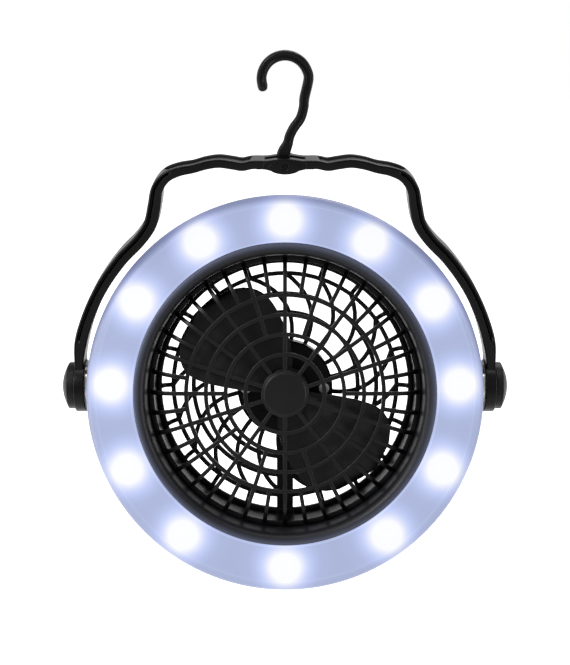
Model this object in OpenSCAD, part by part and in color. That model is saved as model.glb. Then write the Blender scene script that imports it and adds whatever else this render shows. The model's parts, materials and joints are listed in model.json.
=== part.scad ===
// Portable camping fan: a round fan with a ring of lights about it, tilting in a bail handle
// that hangs from a swinging hook. Millimetres, +Z up, the lit face towards -Y, and the origin
// where the hook hangs. Inside the head, depths are measured forward from the tilt axis.

/* [Duct and bezel] */
// Radius of the air duct. The batteries lie round it, and the ring encloses them
duct_r = 54.5; // [52:0.25:58]
// Wall of the air duct
duct_wall = 1.8; // [1.4:0.1:2.2]
// How far the opening in the front bezel stands back from the duct's wall
bezel_step = 1.5; // [1.3:0.1:1.9]
// Width of the front bezel
bezel_w = 4.8; // [4.4:0.1:5.2]

/* [Light ring] */
// Radius of the round on the front edge of the lens
ring_edge_r = 4.5; // [3:0.25:5]
// Wall of the lens
lens_wall = 1.8; // [1.4:0.1:2.2]
// Depth of the lens, from its front face to the seam with the housing
lens_depth = 6; // [5.6:0.1:7]
// Distance from the rim in to the circle that the lights stand on
led_in = 10.1; // [9:0.1:10.8]
// Side of one light
led_size = 5; // [4:0.25:5.5]
// Angle between neighbouring lights
led_step = 28.8; // [27.5:0.1:29.5]
// Thickness of the circuit boards
board_t = 1.6; // [1.2:0.1:2]

/* [Housing] */
// Wall of the housing
wall = 1.8; // [1.4:0.1:2.2]
// Forward distance from the tilt axis to the seam with the lens
seam_f = 9; // [8.8:0.1:10]
// Distance from the tilt axis back to the flat rear face
rear_d = 28; // [27.5:0.25:29.5]
// How far the fan axis lies below the tilt axis
axis_drop = 2.5; // [1:0.25:3]
// Room between the ends of the batteries and the housing's round wall
cell_room = 1.78; // [1.5:0.02:2.5]

/* [Grilles] */
// Width of a grille bar
bar_w = 1.25; // [1:0.05:1.5]
// Depth of a grille bar
bar_d = 2; // [1.6:0.1:2.4]
// Radius of the cap in the middle of the front grille
cap_r = 8.4; // [7.5:0.1:9]
// Radius of the first ring of the front grille
web_r = 16; // [15:0.25:17]
// Distance between rings of the front grille
web_step = 8; // [7:0.25:8.5]
// Width of the edge that turns back to the rim of the front grille
turn_w = 12.9; // [12:0.1:14]
// Long spokes of the front grille
long_spokes = 10; // [8:1:12]
// Forward distance from the tilt axis to the front grille's face
web_f = 9.4; // [9:0.1:10]
// Spokes of the rear grille
rear_spokes = 20; // [16:1:22]
// Angle that a rear spoke sweeps on its way out
sweep = 26; // [15:1:35]

/* [Fan] */
// Gap between the blade tips and the duct
tip_gap = 5.7; // [4.5:0.1:8]
// Radius of the rotor's hub
hub_r = 9.8; // [9:0.1:11]
// Thickness of a blade
blade_t = 1.6; // [1.2:0.1:2]
// Depth that a blade sweeps from edge to edge
blade_rise = 9; // [6:0.5:10]
// Radius of the motor
motor_r = 12.2; // [11:0.1:13]
// Length of the motor
motor_len = 12.3; // [11:0.1:12.5]
// Radius of the motor's shaft
shaft_r = 1; // [0.8:0.1:1.5]
// Outer radius of the pod that holds the motor
pod_r = 20; // [19:0.25:21]

/* [Handle] */
// Gap between the light ring and the handle's arms
hug_gap = 2.1; // [2:0.1:3.5]
// Height of the handle's bar above the tilt axis
bar_h = 92; // [90:0.5:98]
// Depth of the handle from front to back
strip_d = 12; // [10:0.25:12.5]
// Thickness of the handle's arms
arm_t = 5; // [4.6:0.1:5]
// Thickness of the handle's bar
grip_t = 3.3; // [2.8:0.1:4]
// Thickness of the handle's round ends
lug_t = 4.4; // [4:0.1:5]
// Radius of the handle's round ends
lug_r = 10.8; // [10:0.1:12]
// Radius of the side knobs
knob_r = 9.6; // [9:0.1:10.5]
// Thickness of the side knobs
knob_t = 5.6; // [4.8:0.1:7]
// Radius of the pivot stubs
stub_r = 5; // [4:0.1:5.5]
// Angle that the head leans back from the handle
lean = 15; // [0:1:20]

/* [Hook] */
// Width of the hook's rod
hook_w = 3.8; // [3:0.1:4.2]
// Depth of the hook's rod
hook_d = 4; // [3:0.1:4.4]
// Inner radius of the hook's bend
hook_r = 7; // [6:0.1:8]
// Height of the centre of the bend above the pin
hook_h = 32.4; // [30:0.2:36]
// Radius of the hook's pin
pin_r = 1.3; // [1:0.1:1.5]
// How far the hook swings to each side
hook_swing = 50; // [30:1:52]

/* [Power and switches] */
// Radius of a battery
cell_r = 7.1; // [7:0.05:7.2]
// Length of a battery
cell_len = 50.2; // [50:0.1:50.5]
// Angle of each battery from the level line
cell_a = 32; // [31:0.5:33]
// Radius of the light button
button_r = 4; // [3.5:0.1:4.5]
// Travel of the battery doors
door_travel = 12; // [10:0.5:14]
// Travel of the light button
button_travel = 1.2; // [0.8:0.1:1.4]
// Travel of the fan slider
slider_travel = 5; // [4:0.25:6]

/* [Fits] */
// Gap all round a piece that turns or slides
run_fit = 0.08; // [0.05:0.01:0.1]
// Gap between seated pieces
seat_fit = 0.2; // [0.1:0.05:0.3]
// Gap between the flat faces of stacked pieces
face_fit = 0.05; // [0.03:0.01:0.1]

/* [Hidden] */
$fn = 96;

black = [0.1, 0.1, 0.105];
steel = [0.75, 0.76, 0.78];

// ---- places across the head, out from the fan axis
cell_d = duct_r + duct_wall + seat_fit + cell_r;
house_step = 1.4;
ring_r = norm([cell_d + cell_r, cell_len / 2]) + cell_room + wall + house_step;
led_r = ring_r - led_in;
bezel_r = duct_r + bezel_step;
bezel_out_r = bezel_r + bezel_w;
tip_r = duct_r - tip_gap;

// ---- places along the depth of the head, forward from the tilt axis
face_f = seam_f + lens_depth;
back_f = -rear_d;
house_r = ring_r - house_step;
tongue_out = house_r - wall - seat_fit;
tongue_in = tongue_out - 1.4;
lens_in = bezel_out_r + seat_fit;
board_in = bezel_out_r + 3;
board_out = tongue_in - seat_fit;
led_board_f = seam_f - 0.4 - board_t;
tray_f = led_board_f + board_t;
tray_t = 0.8;
seat_f = -1;
plate_f = back_f + 2;

// ---- places across the head
washer_t = 0.6;
boss_r = seam_f - 0.4;
boss_x = ring_r + 0.3;
lug_x = boss_x + washer_t + 2 * face_fit;
knob_x = lug_x + lug_t + face_fit;
stub_in = boss_x - 7;
hug_r = ring_r + hug_gap + arm_t / 2;
pivot_z = -(bar_h + hook_h + hook_r);

// ---- parts of the fan
rear_f = back_f + 1.8;
pod_front = -13.5;
pod_wall = 1.6;
motor_f = pod_front - motor_len;
cover_t = 1.8;
blade_f = -1;
hub_front = 5;
hub_back = pod_front + cover_t + face_fit + 1;

// ---- screws
screw_r = 1.3;
screw_head_r = 2.5;
screw_head_h = 1.8;
// how deep the heads are sunk in the housing's back
screw_sink = 4;
post_r = 2.7;
post_at = bezel_out_r - 0.3;

// ---- helpers
function arc(cx, cy, rx, ry, a0, a1, n) =
    [for (i = [0:n]) let (a = a0 + (a1 - a0) * i / n) [cx + rx * cos(a), cy + ry * sin(a)]];
function blend(p, i, t) = let (
        n = len(p) - 1, a = p[max(i - 1, 0)], b = p[i], c = p[min(i + 1, n)], d = p[min(i + 2, n)])
    0.5 * (2 * b + (c - a) * t + (2 * a - 5 * b + 4 * c - d) * t * t
        + (3 * b - a - 3 * c + d) * t * t * t);
// a smooth line through [x, z, width] knots, with n steps between two knots
function smooth(p, n) = concat([for (i = [0:len(p) - 2]) for (j = [0:n - 1]) blend(p, i, j / n)],
    [p[len(p) - 1]]);
function side(line, i) = let (
        a = line[max(i - 1, 0)], b = line[min(i + 1, len(line) - 1)], d = [b[0] - a[0], b[1] - a[1]])
    [d[1], -d[0]] / norm(d);
function edge(line, s, i0, i1) = [for (i = [i0:i1])
    [line[i][0], line[i][1]] + side(line, i) * line[i][2] / 2 * s];
function back_to_front(p) = [for (i = [len(p) - 1:-1:0]) p[i]];

// the band between two offsets of a line, each from -1 (right of its way) to 1 (left)
module band(line, s0, s1, i0, i1)
    polygon(concat(edge(line, s0, i0, i1), back_to_front(edge(line, s1, i0, i1))));
// a flat outline in X and Z, made thick about the plane y
module upright(d, y = 0) translate([0, y, 0]) rotate([90, 0, 0])
    linear_extrude(height = d, center = true) children();
// an outline of [radius, forward] points turned about the fan axis
module spin(p) rotate([90, 0, 0]) rotate_extrude() polygon(p);
// a rod along the fan axis from depth f0 to f1
module rod(r, f0, f1) translate([0, -f0, 0]) rotate([90, 0, 0]) cylinder(r = r, h = f1 - f0);
module box(w, h, f0, f1) translate([-w / 2, -f1, -h / 2]) cube([w, f1 - f0, h]);
module box_from(w, h, f0, f1) translate([w / 2, 0, 0]) box(w, h, f0, f1);
module polar(r, a) rotate([0, -a, 0]) translate([r, 0, 0]) children();
module slice(p, a0, a1) rotate([0, -a0, 0]) rotate([90, 0, 0]) rotate_extrude(angle = a1 - a0)
    polygon(p);
module bail() translate([0, 0, pivot_z]) children();
module head() bail() rotate([-lean, 0, 0]) children();
module axis() head() translate([0, 0, -axis_drop]) children();
module other_side() mirror([1, 0, 0]) children();

// ---- hook: a moulded rod, bent over at the top and waved like the bar that it folds beside
bend_r = hook_r + hook_w / 2;
eye_r = 3.1;
// knots of the shank as [x, height above the pin, share of the rod's width]
shank = [[7.4, 25.4, 1], [7.1, 21.8, 1], [5.9, 17.6, 1], [3.4, 14, 1], [1.8, 10.8, 1], [1.1, 8, 1.05],
    [-0.2, 5, 1.3], [-0.5, 3, 1.4], [0, 0, 1]];
hook_line = smooth(concat(
    [for (a = [198:-22:22]) [bend_r * cos(a), hook_h + bend_r * sin(a), hook_w]],
    [[bend_r, hook_h, hook_w]],
    [for (p = shank) [p[0], p[1], hook_w * p[2]]]), 3);
groove_d = 0.7;

module hook() color(black) bail() translate([0, 0, bar_h]) difference() {
    n = len(hook_line) - 1;
    union() {
        upright(hook_d) band(hook_line, -1, 1, 0, n);
        upright(hook_d) translate([hook_line[0][0], hook_line[0][1]]) circle(r = hook_w / 2);
        upright(hook_d) circle(r = eye_r);
    }
    for (y = [-1, 1]) upright(2 * groove_d, y * hook_d / 2) band(hook_line, -0.36, 0.36, 2, n - 9);
    rod(pin_r + run_fit, -hook_d, hook_d);
}

module hook_pin() color(steel) bail() translate([0, 0, bar_h])
    rod(pin_r, -hub_d / 2 + pin_inset, hub_d / 2 - pin_inset);

// ---- handle: a bail that hugs the head, turns up to the shoulders and runs across in finger waves
// how far the bar rises beside the hub
wave = 0.55;
// knots of the bar and the shoulder as [x, height above the hook's pin, thickness]
grip = [[12.5, 0.6, 1], [16.5, -0.1, 1], [20.5, 0.5, 1], [25.5, 1.1, 1], [30.5, 0.4, 1],
    [35.5, -1, 1], [41, -2.1, 1.1]];
shoulder = [[46, -4.4, 4.2], [49.4, -9, 4.7], [50.7, -15.5, 5.1], [52.6, -23, 5.2]];
hug_angles = [47.5, 41, 34, 27.5, 20.5, 14];
strip_x = lug_x + lug_t / 2;
// the faces of the round ends stand this far proud of the arm
lug_step = 0.3;
half_line = concat(
    [[0, bar_h, grip_t], [7, bar_h + wave, grip_t]],
    [for (p = grip) [p[0], bar_h + p[1], grip_t * p[2]]],
    [for (p = shoulder) [p[0], bar_h + p[1], p[2]]],
    [for (a = hug_angles) [hug_r * cos(a), hug_r * sin(a), arm_t]],
    [for (z = [12, 5, 0]) [strip_x, z, lug_t - 2 * lug_step]]);
steps = 4;
bail_line = smooth(half_line, steps);
// the hub that the hook turns in: a smooth swelling of the bar with a raised lozenge on each face
hub_half = 9;
hub_h = 6;
hub_face = 6.4;
hub_flat = 2.8;
hub_d = strip_d + 0.8;
pin_inset = 0.3;
slot_w = hook_d + 0.6;
slot_half = hub_h / 2 * tan(hook_swing) + hook_w / 2 / cos(hook_swing) + 1;
function hub_edge(s) = [for (i = [-12:12])
    [hub_half * i / 12, s * (grip_t + (hub_h - grip_t) * (1 + cos(15 * i)) / 2) / 2]];
pocket_d = 1.8;
// first and last knot of each pocket
pockets = [[9, 12], [13, 18]];

module half_bail() {
    n = len(bail_line) - 1;
    difference() {
        upright(strip_d) band(bail_line, -1, 1, 0, n);
        // long pockets in both faces of the arm, over the shoulder and down the curve
        for (y = [-1, 1], k = pockets)
            upright(2 * pocket_d, y * strip_d / 2)
                band(bail_line, -0.78, -0.16, k[0] * steps, k[1] * steps);
        // a shallow trough along the top of the bar
        upright(strip_d - 4) band(bail_line, -1.4, -0.5, steps * 2, steps * 9);
    }
    translate([lug_x, 0, 0]) rotate([0, 90, 0]) cylinder(r = lug_r, h = lug_t);
}

module handle() color(black) bail() difference() {
    union() {
        half_bail();
        other_side() half_bail();
        upright(strip_d) translate([0, bar_h])
            polygon(concat(hub_edge(-1), back_to_front(hub_edge(1))));
        upright(hub_d) translate([0, bar_h]) polygon(concat(
            [[hub_flat, hub_h / 2], [-hub_flat, hub_h / 2]], arc(0, 0, hub_face, hub_h / 2, 180, 360, 10)));
    }
    upright(slot_w) translate([-slot_half, bar_h - hub_h]) square([2 * slot_half, 2 * hub_h]);
    translate([0, 0, bar_h]) rod(pin_r + run_fit, -strip_d, strip_d);
    for (s = [0, 1]) mirror([s, 0, 0]) translate([lug_x - 1, 0, 0]) rotate([0, 90, 0])
        cylinder(r = stub_r + run_fit, h = lug_t + 2);
}

// ---- side pivots: knobs with stubs that pass through the handle into the head
module pivot_part(p) head() rotate([0, 90, 0]) rotate_extrude() polygon(p);
module knob() pivot_part([
    [screw_r + face_fit, stub_in], [stub_r, stub_in], [stub_r, knob_x], [knob_r, knob_x],
    [knob_r, knob_x + knob_t * 0.58], [knob_r - 0.6, knob_x + knob_t * 0.72],
    [knob_r - 2.2, knob_x + knob_t * 0.88], [knob_r - 2.8, knob_x + knob_t * 0.9],
    [knob_r * 0.35, knob_x + knob_t * 0.98], [0, knob_x + knob_t],
    [0, knob_x], [screw_r + face_fit, knob_x]]);
module washer() pivot_part([
    [stub_r + seat_fit, boss_x + face_fit], [boss_r - 0.4, boss_x + face_fit],
    [boss_r - 0.4, boss_x + face_fit + washer_t], [stub_r + seat_fit, boss_x + face_fit + washer_t]]);
pivot_floor = 2;
module pivot_screw() pivot_part([
    [0, stub_in - pivot_floor - 2], [screw_head_r, stub_in - pivot_floor - 2],
    [screw_head_r, stub_in - pivot_floor - face_fit], [screw_r, stub_in - pivot_floor - face_fit],
    [screw_r, knob_x - 1], [0, knob_x - 1]]);

module knob_right() color(black) knob();
module knob_left() color(black) other_side() knob();
module washer_right() color(steel) washer();
module washer_left() color(steel) other_side() washer();
module pivot_screw_right() color(steel) pivot_screw();
module pivot_screw_left() color(steel) other_side() pivot_screw();

// ---- light ring
module lens() color([0.8, 0.84, 1]) axis() spin(concat(
    [[ring_r, seam_f]],
    arc(ring_r - ring_edge_r, face_f - ring_edge_r, ring_edge_r, ring_edge_r, 0, 90, 8),
    [[lens_in + 0.5, face_f], [lens_in, face_f - 0.5], [lens_in, tray_f + tray_t + 1.6],
     [lens_in + 1.2, tray_f + tray_t + 1.6], [lens_in + 1.8, face_f - lens_wall],
     [tongue_in - 2, face_f - lens_wall], [tongue_in, face_f - lens_wall - 2],
     [tongue_in, seam_f - 2], [tongue_out, seam_f - 2], [tongue_out, seam_f]]));

// the lights stand closest at the sides and widest apart either side of the lowest one
module at_leds() {
    for (i = [-5:5]) polar(led_r, 90 + i * led_step) children();
    polar(led_r, 270) children();
}

module led_reflector() color("white") axis() difference() {
    spin([[board_in, tray_f + face_fit], [board_out, tray_f + face_fit],
        [board_out, face_f - lens_wall - 2.4], [board_out - 0.8, face_f - lens_wall - 2.4],
        [board_out - 1.2, tray_f + tray_t], [board_in + 1, tray_f + tray_t],
        [lens_in + 3, face_f - lens_wall - seat_fit], [lens_in + 2.2, face_f - lens_wall - seat_fit]]);
    at_leds() box(led_size + 1, led_size + 1, tray_f - 1, face_f);
}

module led_board() color("white") axis()
    spin([[board_in, led_board_f], [board_out, led_board_f], [board_out, tray_f], [board_in, tray_f]]);

module leds() color([1, 1, 0.9]) axis() at_leds() {
    box(led_size, led_size, tray_f + face_fit, tray_f + 1.5);
    rod(led_size * 0.36, tray_f + 1.5, tray_f + 1.9);
}

post_f = tray_f + tray_t + 1.2;
// ---- bezel: the dark ring that clamps the lens, with the posts that its screws enter
module front_bezel() color(black) axis() difference() {
    union() {
        spin(concat([[bezel_r, seat_f + face_fit], [bezel_r, face_f - 3.6]],
            arc(bezel_r + 3.4, face_f - 3.4, 3.4, 4, 176, 96, 6),
            [[bezel_out_r - 0.6, face_f + 0.5], [bezel_out_r, face_f - 0.2], [bezel_out_r, tray_f],
             [bezel_out_r - 1.4, tray_f], [bezel_out_r - 1.4, face_f - 3],
             [bezel_r + 1.6, face_f - 4.6], [bezel_r + 1.6, seat_f + face_fit]]));
        for (a = post_angles) polar(post_at, a) rod(post_r, seat_f, post_f);
    }
    for (a = post_angles) polar(post_at, a) rod(screw_r + face_fit, seat_f - 1, tray_f);
}

// ---- front grille: a flat web of rings and spokes whose outer ends turn back to the rim
rim_f = seat_f + 2.2;
rim_out = bezel_r - seat_fit / 2;
turn_r = rim_out - turn_w;
rim_in = duct_r - 2;
web_rings = [for (r = [web_r:web_step:turn_r - bar_w]) r];

spoke_foot = 0.6;
// the spokes lie this far below the face of the rings that they cross
spoke_drop = 0.12;
spoke_f = web_f - spoke_drop;
function spoke_side(d) = arc(turn_r, rim_f - spoke_foot, rim_out - spoke_foot - turn_r - d,
    spoke_f - rim_f + spoke_foot - d, 90, 0, 8);
module web_spoke(r0) translate([0, 0, -bar_w / 2])
    linear_extrude(height = bar_w) mirror([0, 1]) polygon(concat(
        [[r0, spoke_f]], spoke_side(0), back_to_front(spoke_side(bar_d)), [[r0, spoke_f - bar_d]]));
module web_ring(r) spin([[r - bar_w / 2, web_f - bar_d], [r + bar_w / 2, web_f - bar_d],
    [r + bar_w / 2, web_f], [r - bar_w / 2, web_f]]);

module front_grille() color(black) axis() {
    rod(cap_r, web_f - bar_d - 0.6, web_f + 0.8);
    rod(cap_r + 1.1, web_f - bar_d - 0.2, web_f + 0.2);
    for (r = web_rings) web_ring(r);
    step = 360 / long_spokes;
    for (i = [0:long_spokes - 1]) {
        polar(0, 90 + i * step) web_spoke(cap_r);
        polar(0, 90 + (i + 0.5) * step) web_spoke(web_rings[1]);
        for (s = [0.25, 0.75]) polar(0, 90 + (i + s) * step) web_spoke(web_rings[len(web_rings) - 1]);
    }
    spin([[rim_in, seat_f + face_fit], [rim_out, seat_f + face_fit], [rim_out, rim_f],
        [rim_in, rim_f]]);
}

// ---- housing
// all that lies beyond the waist of a battery door, out to half the angle a
module beyond_waist(r, s, a) slice([[r, back_f - 2], [ring_r + 1, back_f - 2], [ring_r + 1, split_f + 2],
    [r, split_f + 2]], s - a, s + a);
cavity_r = house_r - wall;
round_f = -12;
tail = 6;
tail_r = house_r - tail;
cell_f = -seam_f - seat_fit - cell_r - 0.3;
floor_f = cell_f + cell_r + seat_fit;
door_in = duct_r + duct_wall + 0.4;
split_f = -20;
// angles on the housing's outer and inner rounds at which a battery door ends
split_out = asin((split_f - round_f) / (back_f - round_f));
split_in = asin((split_f - round_f) / (plate_f - round_f));
// the handle's arms pass over the doors where they narrow to a waist, however far they are open
waist_r = sqrt(pow(hug_r - arm_t / 2, 2) - pow(rear_d + door_travel, 2)) - 1.5;
waist_a = asin((strip_d / 2 + axis_drop + 1.5) / waist_r);
contact_gap = 2.4;
contact_w = 9;
contact_t = 0.4;
contact_x = cell_len / 2 + contact_gap;
bay_t = 1.2;
// half the angle that a pair of batteries takes, with the walls at its ends
bay_half = cell_a + atan((contact_x + bay_t + 0.7) / (cell_d - cell_r));
post_a = bay_half + 6.5;
post_angles = [post_a, 180 - post_a, 180 + post_a, -post_a];
board_boss_r = 2.2;
board_h = 12;
board_z = -(ring_r - 13.3);
board_f = -20.4;
button_x = 9;
slider_x = -8;
slider_w = 4.6;
slider_edge = 1.7;
slider_h = 3.4;
// the board's screws stand clear of the slider at the end of its travel
board_screw_x = slider_travel / 2 - slider_x + slider_w / 2 + slider_edge + board_boss_r + 1;
board_w = 2 * (board_screw_x + board_boss_r + 0.2);
lip_f = -21.3;
channel_w = 7;
lead_r = 0.6;
lead_x = 1.5;
lead_f = -22.8;

module at_cells() for (s = [0, 180], a = [-cell_a, cell_a]) polar(cell_d, s + a) children();
module at_board_screws() for (s = [-1, 1]) translate([s * board_screw_x, 0, board_z]) children();

// a wall across the end of a battery, from inside the floor to short of the rear plate
module bay_wall(x) translate([-cell_r - 0.4, 0, x])
    box_from(2 * cell_r - 1.2, bay_t, plate_f + 1.5, floor_f + bay_t / 2);

module rear_housing() color(black) {
    difference() {
        union() {
            axis() {
                spin(concat([[house_r, seam_f], [cavity_r, seam_f]],
                    arc(tail_r, round_f, tail - wall, plate_f - round_f, 0, 90, 8),
                    [[duct_r + duct_wall, plate_f], [duct_r + duct_wall, seat_f], [duct_r, seat_f],
                     [duct_r, lip_f], [duct_r - 0.9, lip_f], [duct_r - 0.9, lip_f - 1.2],
                     [duct_r, lip_f - 1.4], [duct_r, back_f]],
                    back_to_front(arc(tail_r, round_f, tail, back_f - round_f, 0, 90, 10))));
                for (s = [0, 180]) {
                    slice([[duct_r + 1, floor_f], [cavity_r + 0.6, floor_f],
                        [cavity_r + 0.6, floor_f + bay_t], [duct_r + 1, floor_f + bay_t]],
                        s - bay_half, s + bay_half);
                    // ribs that a battery door rests on, at its middle and its ends
                    for (a = [-bay_half, 0, bay_half]) slice(concat(
                        [[duct_r + 1, floor_f + bay_t / 2]],
                        arc(tail_r, round_f, tail - wall + 0.6, plate_f - 0.6 - round_f, 0, 90, 8),
                        [[duct_r + 1, plate_f - 0.6]]), s + a - 1.2, s + a + 1.2);
                }
                at_cells() for (x = [-contact_x, contact_x]) bay_wall(x);
                for (a = post_angles) polar(post_at, a)
                    rod(post_r + 0.6, plate_f - 1, seat_f - seat_fit);
                at_board_screws() rod(board_boss_r, plate_f - 1, board_f - face_fit);
                for (i = [0:11]) polar(board_out, i * 30 + 15)
                    box(2 * (cavity_r - board_out) + 1, 1.2, floor_f + bay_t / 2, led_board_f - face_fit);
            }
            head() for (s = [0, 1]) mirror([s, 0, 0]) {
                translate([stub_in - pivot_floor, 0, 0]) rotate([0, 90, 0])
                    cylinder(r = stub_r + 1.6, h = boss_x - stub_in + pivot_floor);
                translate([cavity_r + 0.1, 0, 0]) rotate([0, 90, 0])
                    cylinder(r = boss_r, h = boss_x - cavity_r - 0.1);
            }
        }
        axis() {
            for (s = [0, 180]) difference() {
                slice(concat(
                    [[door_in - seat_fit, back_f - 1], [ring_r, back_f - 1], [ring_r, split_f + seat_fit]],
                    arc(tail_r, round_f, tail - wall - seat_fit, plate_f + seat_fit - round_f,
                        split_in - 1, 90, 6),
                    [[door_in - seat_fit, plate_f + seat_fit]]), s - bay_half, s + bay_half);
                beyond_waist(waist_r + seat_fit, s, waist_a);
            }
            for (a = post_angles) polar(post_at, a) {
                rod(screw_r + seat_fit, back_f - 1, seat_f);
                rod(screw_head_r + seat_fit, back_f - 1, back_f + screw_sink);
            }
            translate([button_x, 0, board_z]) rod(button_r + run_fit, back_f - 1, plate_f + 1);
            translate([slider_x, 0, board_z])
                box(slider_w + slider_travel + 2 * seat_fit, slider_h + 2 * seat_fit,
                    back_f - 1, plate_f + 1);
            at_board_screws() rod(screw_r + face_fit, plate_f - 0.5, board_f + 1);
            translate([0, 0, -duct_r]) box(channel_w + 2 * seat_fit, 6, lead_f - 1.4, lip_f + 0.2);
        }
        head() for (s = [0, 1]) mirror([s, 0, 0]) {
            translate([stub_in - face_fit, 0, 0]) rotate([0, 90, 0])
                cylinder(r = stub_r + run_fit, h = boss_x);
            translate([stub_in - 10, 0, 0]) rotate([0, 90, 0]) cylinder(r = screw_r + seat_fit, h = 20);
        }
    }
}

// ---- rear grille: rings, swept spokes that turn forward to the rim, and the motor's pod
// how far each ring lies in from the duct's wall
rear_rings = [for (d = [23.2, 15.2, 6.5]) duct_r - d];
rear_turn = rear_rings[2] - 0.8;
rear_rim_f = lip_f + 2.4;
rear_rim_out = duct_r - seat_fit;
swept_line = smooth([for (k = [0:5]) let (u = k / 5, r = pod_r - 1 + u * (rear_rings[2] - pod_r + 1),
    a = sweep * (u * u - 1)) [r * cos(a), r * sin(a), bar_w]], 2);

module swept_spoke() translate([0, -rear_f - spoke_drop, 0]) rotate([90, 0, 0])
    linear_extrude(height = bar_d) band(swept_line, -1, 1, 0, len(swept_line) - 1);
rear_foot = 0.6;
rear_end_f = rear_f + spoke_drop / 2;
function rear_side(d) = arc(rear_turn, rear_rim_f - rear_foot, rear_rim_out - rear_foot - rear_turn - d,
    rear_end_f + d - rear_rim_f + rear_foot, 90, 0, 6);
module rear_end() translate([0, 0, -bar_w / 2]) linear_extrude(height = bar_w) mirror([0, 1])
    polygon(concat(rear_side(0), back_to_front(rear_side(bar_d))));

module rear_grille() color(black) axis() difference() {
    union() {
        for (r = rear_rings) spin([[r - bar_w / 2, rear_f], [r + bar_w / 2, rear_f],
            [r + bar_w / 2, rear_f + bar_d], [r - bar_w / 2, rear_f + bar_d]]);
        for (i = [0:rear_spokes - 1]) polar(0, 270 + i * 360 / rear_spokes) {
            swept_spoke();
            rear_end();
        }
        spin([[rear_rim_out - 1.8, lip_f + face_fit], [rear_rim_out, lip_f + face_fit],
            [rear_rim_out, rear_rim_f], [rear_rim_out - 1.8, rear_rim_f]]);
        // pod, with a collar for the motor
        spin([[0, rear_f - 1.2], [pod_r - 3, rear_f - 1.2], [pod_r, rear_f + 1], [pod_r, pod_front],
            [pod_r - pod_wall, pod_front], [pod_r - pod_wall, motor_f - face_fit],
            [0, motor_f - face_fit]]);
        spin([[motor_r + run_fit, motor_f - 0.5], [motor_r + run_fit + 1.4, motor_f - 0.5],
            [motor_r + run_fit + 1.4, motor_f + 7], [motor_r + run_fit, motor_f + 7]]);
        for (s = [0, 180]) polar(pod_r - 3.6, s) rod(2.2, motor_f - 0.5, pod_front);
        // channel that carries the motor's leads out to the housing
        translate([0, 0, -(pod_r + rear_rim_out - 1) / 2])
            box(channel_w, rear_rim_out - pod_r, rear_f - spoke_drop, lead_f + 1.6);
    }
    translate([0, 0, -(pod_r + rear_rim_out) / 2 + 3])
        box(channel_w - 2.4, rear_rim_out - pod_r + 16, lead_f - 1, lead_f + 1.6 + 2 * face_fit);
    for (s = [0, 180]) polar(pod_r - 3.6, s) rod(screw_r + face_fit, motor_f + 2, pod_front + 1);
}

module motor() color(steel) axis() difference() {
    union() {
        rod(motor_r, motor_f, motor_f + motor_len);
        for (x = [-lead_x, lead_x]) translate([x, 0, -motor_r - 0.6])
            box(1, 3, lead_f - 0.3, lead_f + 0.3);
    }
    rod(shaft_r + 0.1, motor_f + 0.6, pod_front + 1);
}

bush_r = 3;
module motor_bush() color([0.8, 0.65, 0.35]) axis() spin([
    [shaft_r + 0.03, pod_front + face_fit], [bush_r, pod_front + face_fit],
    [bush_r, pod_front + cover_t + 0.6], [shaft_r + 0.03, pod_front + cover_t + 0.6]]);

module motor_cover() color(black) axis() difference() {
    spin([[bush_r + seat_fit, pod_front + face_fit], [pod_r, pod_front + face_fit],
        [pod_r, pod_front + cover_t - 0.6], [pod_r - 0.8, pod_front + cover_t],
        [bush_r + seat_fit, pod_front + cover_t]]);
    for (s = [0, 180]) polar(pod_r - 3.6, s)
        rod(screw_r + seat_fit, pod_front - 1, pod_front + cover_t + 1);
}

module screw(f0, f1) {
    rod(screw_r, f0, f1);
    rod(screw_head_r * 0.86, f1, f1 + 1.2);
}

module motor_screws() color(steel) axis() for (s = [0, 180]) polar(pod_r - 3.6, s)
    screw(motor_f + 4, pod_front + cover_t + face_fit);

module motor_leads() color("red") axis() for (x = [-lead_x, lead_x]) translate([x, 0, 0]) {
    translate([0, -lead_f, board_z + 4])
        cylinder(r = lead_r, h = -board_z - 4 - motor_r - 2.1 - face_fit);
    translate([0, 0, board_z + 4]) rod(lead_r, lead_f, board_f - face_fit);
}

cover_len = rear_rim_out - pod_r - 6;
cover_mid = (pod_r + rear_rim_out - 2) / 2;
module wire_cover() color(black) axis() translate([0, 0, -cover_mid]) {
    box(channel_w, cover_len, lead_f + 1.6 + face_fit, lead_f + 2.8);
    for (z = [-1, 1]) translate([0, 0, z * cover_len / 3]) box(channel_w - 3, 3, lead_f + 2, lead_f + 3.6);
}

// ---- rotor
module motor_shaft() color(steel) axis() rod(shaft_r, motor_f + 1, hub_front - 2);

// a blade is a grid of points: rows go out along the radius and columns round the axis
blade_rows = 9;
blade_cols = 9;
blade_mid = 136;
function blade_radius(u) = hub_r - 1 + u * (tip_r - hub_r + 1);
function blade_half(u) = (56 - 40 * u + 21 * u * u) * sqrt(1 - pow(u, 7) * 0.985);
function blade_lean(u) = -11 * (1 - u) * (1 - u);
function blade_point(u, v, side) = let (
        r = blade_radius(u), a = blade_mid + blade_lean(u) + v * blade_half(u),
        f = blade_f + blade_rise / 2 * sin(v * 80) + side * blade_t / 2)
    [r * cos(a), -f, r * sin(a)];
function blade_index(side, i, j) = (side * (blade_rows + 1) + i) * (blade_cols + 1) + j;
blade_points = [for (s = [0, 1], i = [0:blade_rows], j = [0:blade_cols])
    blade_point(i / blade_rows, 2 * j / blade_cols - 1, 2 * s - 1)];
function quad(a, b, c, d) = [[c, b, a], [d, c, a]];
function skin(side, i, j) = let (
        a = blade_index(side, i, j), b = blade_index(side, i, j + 1),
        c = blade_index(side, i + 1, j + 1), d = blade_index(side, i + 1, j))
    side == 1 ? quad(a, d, c, b) : quad(a, b, c, d);
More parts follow.
